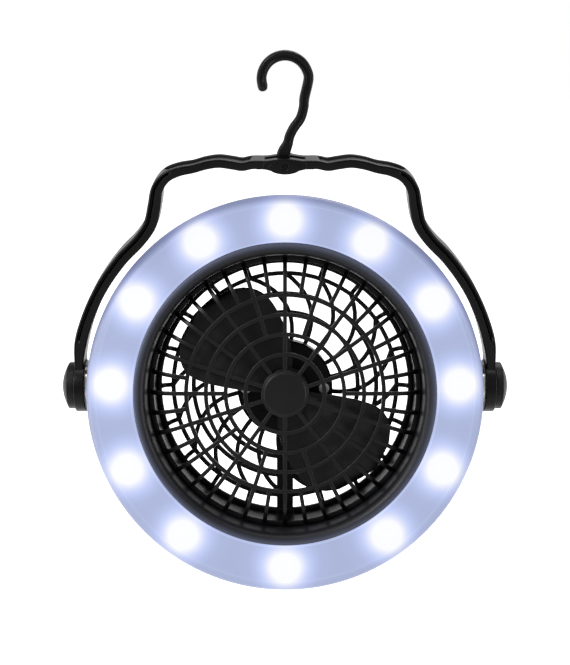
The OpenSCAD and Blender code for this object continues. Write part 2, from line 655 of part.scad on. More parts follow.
blade_faces = concat(
    [for (s = [0, 1], i = [0:blade_rows - 1], j = [0:blade_cols - 1]) each skin(s, i, j)],
    [for (i = [0:blade_rows - 1]) each quad(blade_index(0, i, 0), blade_index(0, i + 1, 0),
        blade_index(1, i + 1, 0), blade_index(1, i, 0))],
    [for (i = [0:blade_rows - 1]) each quad(blade_index(1, i, blade_cols),
        blade_index(1, i + 1, blade_cols), blade_index(0, i + 1, blade_cols),
        blade_index(0, i, blade_cols))],
    [for (j = [0:blade_cols - 1]) each quad(blade_index(1, 0, j), blade_index(1, 0, j + 1),
        blade_index(0, 0, j + 1), blade_index(0, 0, j))],
    [for (j = [0:blade_cols - 1]) each quad(blade_index(0, blade_rows, j),
        blade_index(0, blade_rows, j + 1), blade_index(1, blade_rows, j + 1),
        blade_index(1, blade_rows, j))]);

module fan_rotor() color(black) axis() difference() {
    union() {
        for (s = [0, 180]) rotate([0, s, 0]) polyhedron(blade_points, blade_faces);
        spin([[0, hub_back], [hub_r, hub_back], [hub_r, hub_front - 1.4], [hub_r - 1.4, hub_front],
            [0, hub_front]]);
    }
    rod(shaft_r + 0.01, hub_back - 1, hub_front - 1.9);
    spin([[shaft_r + 2, hub_back - 1], [hub_r - 1.6, hub_back - 1], [hub_r - 1.6, hub_front - 3],
        [shaft_r + 2, hub_front - 3]]);
}

// ---- power
module battery_cells() color([0.25, 0.4, 0.3]) axis() at_cells()
    translate([0, -cell_f, -cell_len / 2]) {
        cylinder(r = cell_r, h = cell_len - 1);
        cylinder(r = 2.6, h = cell_len);
    }

module battery_contacts() color(steel) axis() at_cells() for (s = [-1, 1])
    translate([0, -cell_f, s * (contact_x - bay_t / 2 - face_fit)]) mirror([0, 0, s < 0 ? 0 : 1]) {
        translate([-contact_w / 2, -contact_w / 2, 0]) cube([contact_w, contact_w, contact_t]);
        translate([0, 0, contact_t]) cylinder(r1 = contact_w / 2 - 0.5, r2 = 2,
            h = contact_gap - bay_t / 2 - contact_t - seat_fit - 2 * face_fit);
    }

// a door wraps over the housing's round, so that the batteries pass straight out
thumb_in = 3;
thumb_d = 0.5;
module door() axis() difference() {
    slice(concat([[door_in, back_f]],
        back_to_front(arc(tail_r, round_f, tail, back_f - round_f, split_out, 90, 6)),
        arc(tail_r, round_f, tail - wall, plate_f - round_f, split_in, 90, 6),
        [[door_in, plate_f]]), -bay_half + 0.3, bay_half - 0.3);
    beyond_waist(waist_r, 0, waist_a + 0.3);
    // thumb grooves across the waist
    for (a = [-6:2:6]) slice([[door_in + thumb_in, back_f - 1], [waist_r - thumb_in, back_f - 1],
        [waist_r - thumb_in, back_f + thumb_d], [door_in + thumb_in, back_f + thumb_d]], a - 0.4, a + 0.4);
}
module battery_door_right() color(black) door();
module battery_door_left() color(black) other_side() door();

// ---- control board, with the switches that the slider and the button work from behind
module led_leads() color("white") axis() for (x = [-1, 1]) translate([x * 2.5, 0, board_z - 2])
    rod(lead_r, board_f + board_t + face_fit, led_board_f - face_fit);

module control_board() color([0.15, 0.4, 0.2]) axis() difference() {
    translate([0, 0, board_z]) box(board_w, board_h, board_f, board_f + board_t);
    at_board_screws() rod(screw_r + seat_fit, board_f - 1, board_f + board_t + 1);
}

module board_screws() color(steel) axis() at_board_screws()
    screw(board_f - 4, board_f + board_t + face_fit);

slider_flange_f = plate_f + 1;
module fan_switch() color("silver") axis() translate([slider_x, 0, board_z])
    box(10, 6, slider_flange_f + seat_fit, board_f - face_fit);

module fan_slider() color(black) axis() translate([slider_x - slider_travel / 2, 0, board_z]) {
    box(slider_w, slider_h, back_f + 0.1, plate_f + 0.3);
    box(slider_w + 2 * slider_edge, slider_h + 2, plate_f + seat_fit, slider_flange_f);
}

button_flange = 0.8;
stem_r = 1.5;
switch_f = plate_f + button_flange + button_travel + 2 * seat_fit;
module light_switch() color("silver") axis() translate([button_x, 0, board_z]) difference() {
    box(6, 6, switch_f, board_f - face_fit);
    rod(stem_r + seat_fit, switch_f - 1, switch_f + button_travel + seat_fit);
}

module light_button() color(black) axis() translate([button_x, 0, board_z]) {
    rod(button_r, back_f + 0.1, plate_f + 0.3);
    rod(button_r + 0.8, plate_f + seat_fit, plate_f + seat_fit + button_flange);
    rod(stem_r, plate_f + button_flange, switch_f - face_fit);
}

module housing_screws() color(steel) axis() for (a = post_angles) polar(post_at, a) {
    rod(screw_r, back_f + screw_sink - 1, tray_f - 1);
    rod(screw_head_r, back_f + screw_sink - screw_head_h, back_f + screw_sink - face_fit);
}

hook();
hook_pin();
handle();
lens();
led_reflector();
led_board();
leds();
led_leads();
front_bezel();
front_grille();
rear_housing();
rear_grille();
motor();
motor_bush();
motor_cover();
motor_screws();
motor_leads();
wire_cover();
motor_shaft();
fan_rotor();
knob_left();
knob_right();
washer_left();
washer_right();
pivot_screw_left();
pivot_screw_right();
battery_cells();
battery_contacts();
battery_door_left();
battery_door_right();
control_board();
board_screws();
fan_switch();
fan_slider();
light_switch();
light_button();
housing_screws();
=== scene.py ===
import json
import math
import bpy
import bmesh
from mathutils import Matrix, Vector


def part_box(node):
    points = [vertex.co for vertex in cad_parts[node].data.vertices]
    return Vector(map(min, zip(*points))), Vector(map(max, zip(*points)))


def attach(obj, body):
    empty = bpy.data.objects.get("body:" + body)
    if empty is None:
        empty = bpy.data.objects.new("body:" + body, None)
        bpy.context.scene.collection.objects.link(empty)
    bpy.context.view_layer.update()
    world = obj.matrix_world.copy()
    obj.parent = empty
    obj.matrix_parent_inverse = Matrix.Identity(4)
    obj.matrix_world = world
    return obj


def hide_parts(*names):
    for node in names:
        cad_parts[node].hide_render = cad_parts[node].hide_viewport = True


# Portable camping fan: a ring light round a two-blade fan, in a bail handle on a hook.
# Metres throughout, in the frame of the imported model. The lit face looks along -Y.

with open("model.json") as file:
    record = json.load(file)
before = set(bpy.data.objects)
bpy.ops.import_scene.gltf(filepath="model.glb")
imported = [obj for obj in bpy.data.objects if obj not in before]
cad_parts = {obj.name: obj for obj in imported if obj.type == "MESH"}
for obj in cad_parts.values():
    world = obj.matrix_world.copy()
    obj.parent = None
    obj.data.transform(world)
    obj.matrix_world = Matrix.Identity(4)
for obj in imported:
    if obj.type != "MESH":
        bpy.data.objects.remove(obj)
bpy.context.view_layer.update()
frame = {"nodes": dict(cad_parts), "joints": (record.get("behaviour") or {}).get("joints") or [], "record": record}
nodes = frame["nodes"]
joints = {joint["name"]: joint for joint in frame["joints"]}
bodyOf = {node: body for body, members in frame["record"]["behaviour"]["bodies"].items() for node in members}
slotOf = {part["node"]: part["material_slot"] for part in frame["record"]["subparts"]}
print("frame:", len(nodes), "nodes")

mm = 0.001
fanCentre = Vector(joints["rotor_spin"]["pos_m"])
fanAxis = Vector(joints["rotor_spin"]["axis"])
lean = math.atan2(fanAxis.z, -fanAxis.y)
headPlace = Matrix.Translation(fanCentre) @ Matrix.Rotation(-lean, 4, "X")  # x across, -y forward, z up


# Camera: fitted to the photograph, level with the hook and looking down on the ring
camera = {
    "place": (0, -0.4844, 0.0583),
    "pitch": 19,  # degrees down from level
    "lens": 68.5,
    "sensorHeight": 36,
}
cameraData = bpy.data.cameras.new("camera")
cameraData.sensor_fit = "VERTICAL"
cameraData.sensor_height = camera["sensorHeight"]
cameraData.lens = camera["lens"]
cameraObject = bpy.data.objects.new("camera", cameraData)
cameraObject.location = camera["place"]
cameraObject.rotation_euler = (math.radians(90 - camera["pitch"]), 0, 0)
bpy.context.scene.collection.objects.link(cameraObject)
bpy.context.scene.camera = cameraObject
bpy.context.scene.view_settings.view_transform = "Standard"
print("camera set")


# Helpers for materials
def linearColour(hexCode):
    channels = [int(hexCode[i:i + 2], 16) / 255 for i in (1, 3, 5)]
    return [c / 12.92 if c <= 0.04045 else ((c + 0.055) / 1.055) ** 2.4 for c in channels] + [1.0]


def addNode(tree, kind, inputs=None, **settings):  # an input is a value, a socket or a node's first output
    node = tree.nodes.new(kind)
    for name, value in settings.items():
        setattr(node, name, value)
    for name, value in (inputs or {}).items():
        if isinstance(value, bpy.types.Node):
            value = value.outputs[0]
        if isinstance(value, bpy.types.NodeSocket):
            tree.links.new(value, node.inputs[name])
        else:
            node.inputs[name].default_value = value
    return node


def newMaterial(name):
    material = bpy.data.materials.new(name)
    material.use_nodes = True
    material.node_tree.nodes.clear()
    return material, material.node_tree


def finishMaterial(material, tree, shader):
    addNode(tree, "ShaderNodeOutputMaterial", {"Surface": shader})
    return material


def setRamp(node, stops):  # stops are (position, hex colour)
    elements = node.color_ramp.elements
    while len(elements) > 1:
        elements.remove(elements[-1])
    for i, (position, hexCode) in enumerate(stops):
        element = elements[0] if i == 0 else elements.new(position)
        element.position = position
        element.color = linearColour(hexCode)
    return node


def fromAxis(tree):  # height above the fan axis, and distance from it
    place = addNode(tree, "ShaderNodeTexCoord").outputs["Object"]
    local = addNode(tree, "ShaderNodeMapping", {
        "Vector": place, "Location": fanCentre, "Rotation": (-lean, 0, 0)}, vector_type="TEXTURE")
    flat = addNode(tree, "ShaderNodeVectorMath", {0: local, 1: (1, 0, 1)}, operation="MULTIPLY")
    radius = addNode(tree, "ShaderNodeVectorMath", {0: flat}, operation="LENGTH").outputs["Value"]
    return addNode(tree, "ShaderNodeSeparateXYZ", {0: flat}).outputs["Z"], radius


def seenDirectly(tree):  # 1 where the camera looks straight, in a reflection or through something clear
    rays = addNode(tree, "ShaderNodeLightPath").outputs
    seen = addNode(tree, "ShaderNodeMath", {0: rays["Is Camera Ray"], 1: rays["Is Glossy Ray"]},
                   operation="MAXIMUM")
    return addNode(tree, "ShaderNodeMath", {0: seen, 1: rays["Is Transmission Ray"]}, operation="MAXIMUM")


# Moulded ABS. The mould's spark-eroded skin leaves a fine satin grain that breaks up the shine, and
# the surface stays black between soft highlights on its rounds. The grain is drawn at 0.5 mm, about
# five times its real size, so that it shows.
def mouldedPlastic(name, look):
    material, tree = newMaterial(name)
    place = addNode(tree, "ShaderNodeTexCoord").outputs["Object"]
    grain = addNode(tree, "ShaderNodeTexNoise", {
        "Vector": place, "Scale": 1 / (look["grain"] * mm), "Detail": 3, "Roughness": 0.6})
    cloud = addNode(tree, "ShaderNodeTexNoise", {
        "Vector": place, "Scale": 1 / (look["cloud"] * mm), "Detail": 2})
    colour = setRamp(addNode(tree, "ShaderNodeValToRGB", {"Fac": cloud}),
                     [(0.35, look["dark"]), (0.65, look["light"])])
    if "paintedGlow" in look:  # painted light: the glow of the lens beside it is painted onto its outer edge
        radius = fromAxis(tree)[1]
        near = addNode(tree, "ShaderNodeMapRange", {
            "Value": radius, "From Min": look["paintedGlowFrom"] * mm, "From Max": look["paintedGlowTo"] * mm},
            interpolation_type="SMOOTHSTEP")
        colour = addNode(tree, "ShaderNodeMixRGB", {
            "Fac": near, "Color1": colour, "Color2": linearColour(look["paintedGlow"])})
    rough = addNode(tree, "ShaderNodeMapRange", {
        "Value": grain, "From Min": 0.3, "From Max": 0.7,
        "To Min": look["roughness"] - look["spread"], "To Max": look["roughness"] + look["spread"]})
    bump = addNode(tree, "ShaderNodeBump", {
        "Height": grain, "Strength": look["relief"], "Distance": look["grain"] * mm * 0.15})
    shader = addNode(tree, "ShaderNodeBsdfPrincipled", {
        "Base Color": colour, "Roughness": rough, "Normal": bump,
        "IOR": 1.5, "Specular IOR Level": look["specular"]})
    return finishMaterial(material, tree, shader)


# Metal with the fine marks that drawing, rolling or turning leaves along it.
def drawnMetal(name, look):
    material, tree = newMaterial(name)
    place = addNode(tree, "ShaderNodeTexCoord").outputs["Object"]
    stretched = addNode(tree, "ShaderNodeMapping", {"Vector": place, "Scale": (1, 0.15, 1)})
    marks = addNode(tree, "ShaderNodeTexNoise", {
        "Vector": stretched, "Scale": 1 / (look["marks"] * mm), "Detail": 4})
    colour = setRamp(addNode(tree, "ShaderNodeValToRGB", {"Fac": marks}),
                     [(0.3, look["dark"]), (0.7, look["light"])])
    rough = addNode(tree, "ShaderNodeMapRange", {
        "Value": marks, "To Min": look["roughness"] - 0.08, "To Max": look["roughness"] + 0.08})
    bump = addNode(tree, "ShaderNodeBump", {
        "Height": marks, "Strength": 0.15, "Distance": look["marks"] * mm * 0.1})
    shader = addNode(tree, "ShaderNodeBsdfPrincipled", {
        "Base Color": colour, "Roughness": rough, "Normal": bump, "Metallic": 1.0})
    return finishMaterial(material, tree, shader)


# Diffusing polycarbonate with lights close behind it: white over each light, then a lavender haze,
# and a greyer band of painted shade where the face turns over its rounded edge, darker at the top.
# Thin painted highlights run along its inner edge and where the face turns, and painted shade darkens the very
# edge.
ringLight = {
    "circle": 69.9,  # radius of the circle of lights, mm
    "step": 28.8,    # degrees between lights
    "pairs": 5,      # lights on each side; the top one and the lowest stand alone
    "reach": 20,     # mm from a light's middle to the even haze
    "glow": [(0, "#ffffff"), (0.29, "#fdfdff"), (0.36, "#e8ebfb"), (0.42, "#d5dcf9"), (0.48, "#c4cff6"),
             (0.55, "#b9c4f0"), (0.61, "#b1bce6"), (0.74, "#a6b1d8"), (1, "#a2add1")],
    "innerEdge": 61.4, "innerHighlight": "#5a5f70",  # a thin painted highlight runs along the inner edge
    "faceEdge": 75.7, "turnHighlight": "#30323c",    # a fainter painted highlight where the flat face turns down
    "rim": 80, "rimShade": "#b2b3c2",            # the band of painted shade from there to the outside
    "lowShade": 0.45,                            # the painted shade's strength at the bottom, 1 at the top
    "outline": "#4d485c",                       # painted shade: a dark line at the very edge, where the wall is seen end on
    "base": "#34373f", "roughness": 0.42, "specular": 0.15, "strength": 0.9,
}


def diffusingLens(name, look):
    material, tree = newMaterial(name)
    height, radius = fromAxis(tree)
    upward = addNode(tree, "ShaderNodeMath", {0: height, 1: radius}, operation="DIVIDE")
    fromTop = addNode(tree, "ShaderNodeMath", {0: upward}, operation="ARCCOSINE")
    step = math.radians(look["step"])
    light = fromTop  # the angle of the nearest light above the lowest
    for operation, value in (("DIVIDE", step), ("ROUND", 0), ("MINIMUM", look["pairs"]), ("MULTIPLY", step)):
        light = addNode(tree, "ShaderNodeMath", {0: light, 1: value}, operation=operation)
    toSide = addNode(tree, "ShaderNodeMath", {0: fromTop, 1: light}, operation="SUBTRACT")
    toSide = addNode(tree, "ShaderNodeMath", {0: toSide}, operation="ABSOLUTE")
    toLowest = addNode(tree, "ShaderNodeMath", {0: math.pi, 1: fromTop}, operation="SUBTRACT")
    nearest = addNode(tree, "ShaderNodeMath", {0: toSide, 1: toLowest}, operation="MINIMUM")
    along = addNode(tree, "ShaderNodeMath", {0: nearest, 1: radius}, operation="MULTIPLY")
    across = addNode(tree, "ShaderNodeMath", {0: radius, 1: look["circle"] * mm}, operation="SUBTRACT")
    away = addNode(tree, "ShaderNodeCombineXYZ", {"X": along, "Y": across})
    distance = addNode(tree, "ShaderNodeVectorMath", {0: away}, operation="LENGTH").outputs["Value"]
    share = addNode(tree, "ShaderNodeMath", {0: distance, 1: look["reach"] * mm}, operation="DIVIDE")
    glow = setRamp(addNode(tree, "ShaderNodeValToRGB", {"Fac": share}), look["glow"])
    # the painted highlight lines and painted shade bands along its edges
    # painted shade: the rim band is darker towards the top
    shadeByHeight = addNode(tree, "ShaderNodeMapRange", {
        "Value": height, "From Min": -look["rim"] * mm, "From Max": look["rim"] * mm,
        "To Min": look["lowShade"], "To Max": 1})
    shadeBand = addNode(tree, "ShaderNodeMapRange", {
        "Value": radius, "From Min": look["faceEdge"] * mm, "From Max": look["rim"] * mm, "To Max": shadeByHeight},
        interpolation_type="SMOOTHSTEP")
    # painted highlight: a thin bright line added along the inner edge
    inner = addNode(tree, "ShaderNodeMapRange", {
        "Value": radius, "From Min": (look["innerEdge"] + 0.5) * mm, "From Max": look["innerEdge"] * mm})
    # painted highlight: a faint light line where the flat face turns down
    turnHighlightLine = addNode(tree, "ShaderNodeMath", {0: radius, 1: look["faceEdge"] * mm}, operation="SUBTRACT")
    turnHighlightLine = addNode(tree, "ShaderNodeMath", {0: turnHighlightLine}, operation="ABSOLUTE")
    turnHighlightLine = addNode(tree, "ShaderNodeMapRange", {
        "Value": turnHighlightLine, "From Min": 0.5 * mm, "From Max": 0.1 * mm})
    # painted shade: a dark line along the very edge of the rim
    outline = addNode(tree, "ShaderNodeMapRange", {
        "Value": radius, "From Min": (look["rim"] - 0.35) * mm, "From Max": (look["rim"] - 0.05) * mm,
        "To Max": 0.85})
    for strength, tint, blend in ((shadeBand, "rimShade", "MULTIPLY"), (inner, "innerHighlight", "ADD"),
                                  (turnHighlightLine, "turnHighlight", "ADD"), (outline, "outline", "MIX")):
        glow = addNode(tree, "ShaderNodeMixRGB", {
            "Fac": strength, "Color1": glow, "Color2": linearColour(look[tint])}, blend_type=blend)
    shader = addNode(tree, "ShaderNodeBsdfPrincipled", {
        "Base Color": linearColour(look["base"]), "Roughness": look["roughness"],
        "IOR": 1.58, "Specular IOR Level": look["specular"],
        "Emission Color": glow, "Emission Strength": look["strength"]})
    return finishMaterial(material, tree, shader)


plasticLooks = {
    "black_plastic": {"dark": "#050506", "light": "#09090a", "roughness": 0.3, "spread": 0.05, "grain": 0.5,
                      "cloud": 30, "relief": 0.2, "specular": 0.065},
    "guard_plastic": {"dark": "#070708", "light": "#0b0b0c", "roughness": 0.34, "spread": 0.05, "grain": 0.5,
                      "cloud": 20, "relief": 0.25, "specular": 0.11},
    "rotor_plastic": {"dark": "#0a0a0a", "light": "#0f0f0f", "roughness": 0.4, "spread": 0.06, "grain": 0.5,
                      "cloud": 20, "relief": 0.3, "specular": 0.14},
    "bezel_plastic": {"dark": "#0b0b0d", "light": "#101013", "roughness": 0.4, "spread": 0.05, "grain": 0.5,
                      "cloud": 30, "relief": 0.25, "specular": 0.1,
                      "paintedGlow": "#3a3d4a", "paintedGlowFrom": 57.4, "paintedGlowTo": 61},  # painted light from the lens, from and to these mm from the fan axis
    "knob_plastic": {"dark": "#070709", "light": "#0c0c0d", "roughness": 0.4, "spread": 0.06, "grain": 0.4,
                     "cloud": 12, "relief": 0.3, "specular": 0.075},
    "reflector": {"dark": "#e8e9ea", "light": "#f2f3f3", "roughness": 0.5, "spread": 0.05, "grain": 0.6,
                  "cloud": 20, "relief": 0.2, "specular": 0.5},
    "switch": {"dark": "#1a1a1c", "light": "#242427", "roughness": 0.5, "spread": 0.05, "grain": 0.4,
               "cloud": 6, "relief": 0.3, "specular": 0.4},
    "wire": {"dark": "#a41f1c", "light": "#b8322c", "roughness": 0.4, "spread": 0.05, "grain": 0.6,
             "cloud": 10, "relief": 0.1, "specular": 0.5},
    "white_board": {"dark": "#dfe1e0", "light": "#ebedec", "roughness": 0.35, "spread": 0.05, "grain": 0.7,
                    "cloud": 8, "relief": 0.15, "specular": 0.5},
    "green_board": {"dark": "#1c5a34", "light": "#24683e", "roughness": 0.3, "spread": 0.05, "grain": 0.7,
                    "cloud": 5, "relief": 0.15, "specular": 0.5},
    "cell_jacket": {"dark": "#2c5a47", "light": "#33664f", "roughness": 0.25, "spread": 0.04, "grain": 1.5,
                    "cloud": 12, "relief": 0.05, "specular": 0.5},
    "lights": {"dark": "#f3efcf", "light": "#fbf8e2", "roughness": 0.3, "spread": 0.05, "grain": 0.5,
               "cloud": 3, "relief": 0.1, "specular": 0.5},
}
metalLooks = {
    "steel": {"dark": "#8f9092", "light": "#b4b5b6", "roughness": 0.32, "marks": 0.4},
    "spring_steel": {"dark": "#a4a29c", "light": "#c2c0b9", "roughness": 0.25, "marks": 0.3},
    "bronze": {"dark": "#6e5532", "light": "#8a6c40", "roughness": 0.45, "marks": 0.4},
    # painted shade: the steel pin is coloured near black for the shade in the sunken hole it sits in
    "shade_dark_steel": {"dark": "#0d0d0e", "light": "#161617", "roughness": 0.25, "marks": 0.4},
}
plasticNames = {
    "black_plastic": "moulded black ABS", "guard_plastic": "guard ABS", "rotor_plastic": "rotor ABS",
    "bezel_plastic": "bezel ABS", "knob_plastic": "moulded knob ABS", "reflector": "white polycarbonate",
    "switch": "switch nylon", "wire": "PVC lead", "white_board": "white solder resist",
    "green_board": "green solder resist", "cell_jacket": "printed cell jacket", "lights": "phosphor resin",
}
metalNames = {
    "steel": "zinc plated steel", "spring_steel": "nickel plated spring steel",
    "bronze": "sintered bronze", "shade_dark_steel": "steel darkened for painted shade",
}
finishes = {slot: mouldedPlastic(plasticNames[slot], look) for slot, look in plasticLooks.items()}
finishes.update({slot: drawnMetal(metalNames[slot], look) for slot, look in metalLooks.items()})
finishes["lens"] = diffusingLens("diffusing polycarbonate", ringLight)
for name, node in nodes.items():
    node.data.materials.clear()
    node.data.materials.append(finishes[slotOf[name]])
    node.data.shade_smooth()
print("materials:", len(finishes))


# Helpers for pieces
def finishPiece(name, shape, node, local=True, finish=None):  # local: shaped about the fan axis
    bmesh.ops.remove_doubles(shape, verts=shape.verts, dist=0.001 * mm)
    bmesh.ops.recalc_face_normals(shape, faces=shape.faces)
    if local:
        bmesh.ops.transform(shape, matrix=headPlace, verts=shape.verts)
    mesh = bpy.data.meshes.new(name)
    shape.to_mesh(mesh)
    shape.free()
    mesh.shade_smooth()
    mesh.materials.append(finishes[finish or slotOf[node]])
    piece = bpy.data.objects.new(name, mesh)
    bpy.context.scene.collection.objects.link(piece)
    piece.modifiers.new("even shading", "WEIGHTED_NORMAL").keep_sharp = True
    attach(piece, bodyOf[node])
    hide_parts(node)
    return piece


def roundEdges(shape, width, angle=32, segments=2):
    sharp = [edge for edge in shape.edges
             if edge.is_manifold and edge.calc_face_angle(0) > math.radians(angle)]
    bmesh.ops.bevel(shape, geom=sharp, offset=width * mm, offset_type="OFFSET", segments=segments,
                    profile=0.5, affect="EDGES", clamp_overlap=False, material=-1)


def drawOut(shape, faces, way):  # faces drawn out by a way in mm, into a closed body
    grown = bmesh.ops.extrude_face_region(shape, geom=faces)["geom"]
    bmesh.ops.translate(shape, vec=Vector(way) * mm,
                        verts=[item for item in grown if isinstance(item, bmesh.types.BMVert)])
    bmesh.ops.recalc_face_normals(shape, faces=shape.faces)


def softEdgedCopy(name, node, look):  # the node itself, merged and given the mould's small radii
    shape = bmesh.new()
    shape.from_mesh(nodes[node].data)
    bmesh.ops.remove_doubles(shape, verts=shape.verts, dist=0.01 * mm)
    bmesh.ops.dissolve_limit(shape, angle_limit=math.radians(1), verts=shape.verts, edges=shape.edges)
    roundEdges(shape, look["edge"], look.get("angle", 34), look.get("segments", 2))
    return finishPiece(name, shape, node, local=False, finish=look.get("finish"))


def turned(points, steps=96):  # an outline of (radius, forward) in mm, spun about the fan axis
    shape = bmesh.new()
    ring = [shape.verts.new((radius * mm, -forward * mm, 0)) for radius, forward in points]
    lines = [shape.edges.new((ring[i - 1], ring[i])) for i in range(len(ring))]
    bmesh.ops.spin(shape, geom=ring + lines, cent=(0, 0, 0), axis=(0, 1, 0), dvec=(0, 0, 0),
                   angle=2 * math.pi, steps=steps, use_merge=True, use_duplicate=False)
    bmesh.ops.remove_doubles(shape, verts=shape.verts, dist=0.001 * mm)
    bmesh.ops.recalc_face_normals(shape, faces=shape.faces)
    return shape


def flatBar(points, depth):  # an outline of (across, forward) in mm, drawn out along the third way
    shape = bmesh.new()
    face = shape.faces.new([shape.verts.new((across * mm, -forward * mm, -depth / 2 * mm))
                            for across, forward in points])
    drawOut(shape, [face], (0, 0, depth))
    return shape


def addPlaced(target, source, place):  # a copy of a shape in its place
    mesh = bpy.data.meshes.new("copy")
    source.to_mesh(mesh)
    mesh.transform(place)
    target.from_mesh(mesh)
    bpy.data.meshes.remove(mesh)


def addCopies(target, source, angles=(0,)):  # copies round the fan axis; 0 is to the right, 90 is up
    for angle in angles:
        addPlaced(target, source, Matrix.Rotation(-math.radians(angle), 4, "Y"))


# A smooth line through knots of several numbers each. Each of its points comes with a knot's number.
def smoothLine(knots, steps):
    line = []
    for i in range(len(knots) - 1):
        near = [min(max(i + k, 0), len(knots) - 1) for k in (-1, 0, 1, 2)]
        before, here, there, after = (Vector(knots[k]) for k in near)
        for j in range(steps):
            t = j / steps
            point = 0.5 * (2 * here + (there - before) * t
                           + (2 * before - 5 * here + 4 * there - after) * t * t
                           + (3 * here - before - 3 * there + after) * t ** 3)
            line.append((i + t, point))
    return line + [(len(knots) - 1, Vector(knots[-1]))]


def skinned(rings):  # a tube through rings of equally many points in mm, closed at both ends
    shape = bmesh.new()
    along, around = len(rings) - 1, len(rings[0])
    bmesh.ops.create_grid(shape, x_segments=along, y_segments=around, size=1)
    for vert in shape.verts:
        i, j = round((vert.co.x + 1) / 2 * along), round((vert.co.y + 1) / 2 * around)
        vert.co = Vector(rings[i][j % around]) * mm
    bmesh.ops.remove_doubles(shape, verts=shape.verts, dist=0.001 * mm)
    bmesh.ops.holes_fill(shape, edges=shape.edges, sides=0)
    bmesh.ops.recalc_face_normals(shape, faces=shape.faces)
    return shape


# An outline of (across, forward) at each point of a line of (x, z, width), square to the line.
def ringsAlong(line, outline):
    rings = []
    for i, (knot, (x, z, width)) in enumerate(line):
        way = line[min(i + 1, len(line) - 1)][1] - line[max(i - 1, 0)][1]
        side = Vector((way.y, 0, -way.x)).normalized()
        rings.append([Vector((x, -forward, z)) + side * across
                      for across, forward in outline(knot, width / 2)])
    return rings


def rise(knot, first, last, step):  # 0 outside a stretch of a line and 1 inside it
    return max(0, min(1, (knot - first) / step, (last - knot) / step))


def arc(middle, reach, start, end, count):  # points of an elliptical arc in mm
    turns = [math.radians(start + (end - start) * i / count) for i in range(count + 1)]
    return [(middle[0] + reach[0] * math.cos(t), middle[1] + reach[1] * math.sin(t)) for t in turns]


# Front grille: flat rings and spokes whose outer ends turn back to the rim
frontGrille = {
    "bar": 1.65, "depth": 2, "edge": 0.3,
    "face": 9.4, "spokeFace": 9.28,  # the rings stand a little before the spokes
    "rings": [16, 24, 32, 40],
    "spokes": 10,  # from the cap; as many more start at the second ring, and twice as many at the last
    "cap": 8.4, "capRise": 0.8, "flange": 1.1, "flangeRise": 0.2, "flangeSink": 0.6, "capEdge": 0.35,
    "turn": 43,    # radius where the spokes turn back
    "rimOut": 55.9, "rimIn": 53.8, "rimFace": 1.2, "rimBack": -0.95, "foot": 0.6,
}


def makeFrontGrille(look):
    shape = bmesh.new()
    half, top = look["bar"] / 2, look["face"]
    for radius in look["rings"]:
        ring = turned([(radius - half, top - look["depth"]), (radius + half, top - look["depth"]),
                       (radius + half, top), (radius - half, top)])
        roundEdges(ring, look["edge"])
        addCopies(shape, ring)
    foot = look["rimFace"] - look["foot"]
    reach = look["rimOut"] - look["foot"] - look["turn"]

    def side(inset):
        return arc((look["turn"], foot), (reach - inset, look["spokeFace"] - foot - inset), 90, 0, 12)
    around = range(look["spokes"])
    for start, steps in ((look["cap"], around), (look["rings"][1], [i + 0.5 for i in around]),
                         (look["rings"][3], [i + part for i in around for part in (0.25, 0.75)])):
        spoke = flatBar([(start, look["spokeFace"])] + side(0) + side(look["depth"])[::-1]
                        + [(start, look["spokeFace"] - look["depth"])], look["bar"])
        roundEdges(spoke, look["edge"])
        addCopies(shape, spoke, [90 + step * 360 / look["spokes"] for step in steps])
    low, flange = top - look["depth"], look["cap"] + look["flange"]
    cap = turned([(0, low - look["flangeSink"]), (look["cap"], low - look["flangeSink"]),
                  (look["cap"], low - look["flangeRise"]), (flange, low - look["flangeRise"]),
                  (flange, top + look["flangeRise"]), (look["cap"], top + look["flangeRise"]),
                  (look["cap"], top + look["capRise"]), (0, top + look["capRise"])])
    roundEdges(cap, look["capEdge"])
    addCopies(shape, cap)
    rim = turned([(look["rimIn"], look["rimBack"]), (look["rimOut"], look["rimBack"]),
                  (look["rimOut"], look["rimFace"]), (look["rimIn"], look["rimFace"])])
    roundEdges(rim, look["edge"])
    addCopies(shape, rim)
    return finishPiece("front_guard", shape, "front_grille", finish="guard_plastic")


makeFrontGrille(frontGrille)

# Rear grille: rings, swept spokes that turn forward to the rim, and the motor's pod
rearGrille = {
    "bar": 1.85, "depth": 2, "edge": 0.3,
    "back": -26.2, "drop": 0.12,  # the spokes lie a little deeper than the rings
    "rings": [31.3, 39.3, 48],
    "spokes": 20, "sweep": 26, "bends": 12,  # degrees that a spoke sweeps, in so many straight parts
    "turn": 47.2,  # radius where the spokes turn forward
    "rimOut": 54.3, "rimWide": 1.8, "rimFace": -18.9, "rimBack": -21.25, "foot": 0.6,
    "pod": 20, "podWall": 1.6, "podFront": -13.5, "podFloor": -25.85, "podRise": 1.2, "podSlope": (3, 2.2),
    "channel": 7, "channelFace": -21.2, "blockEdge": 0.4,
}


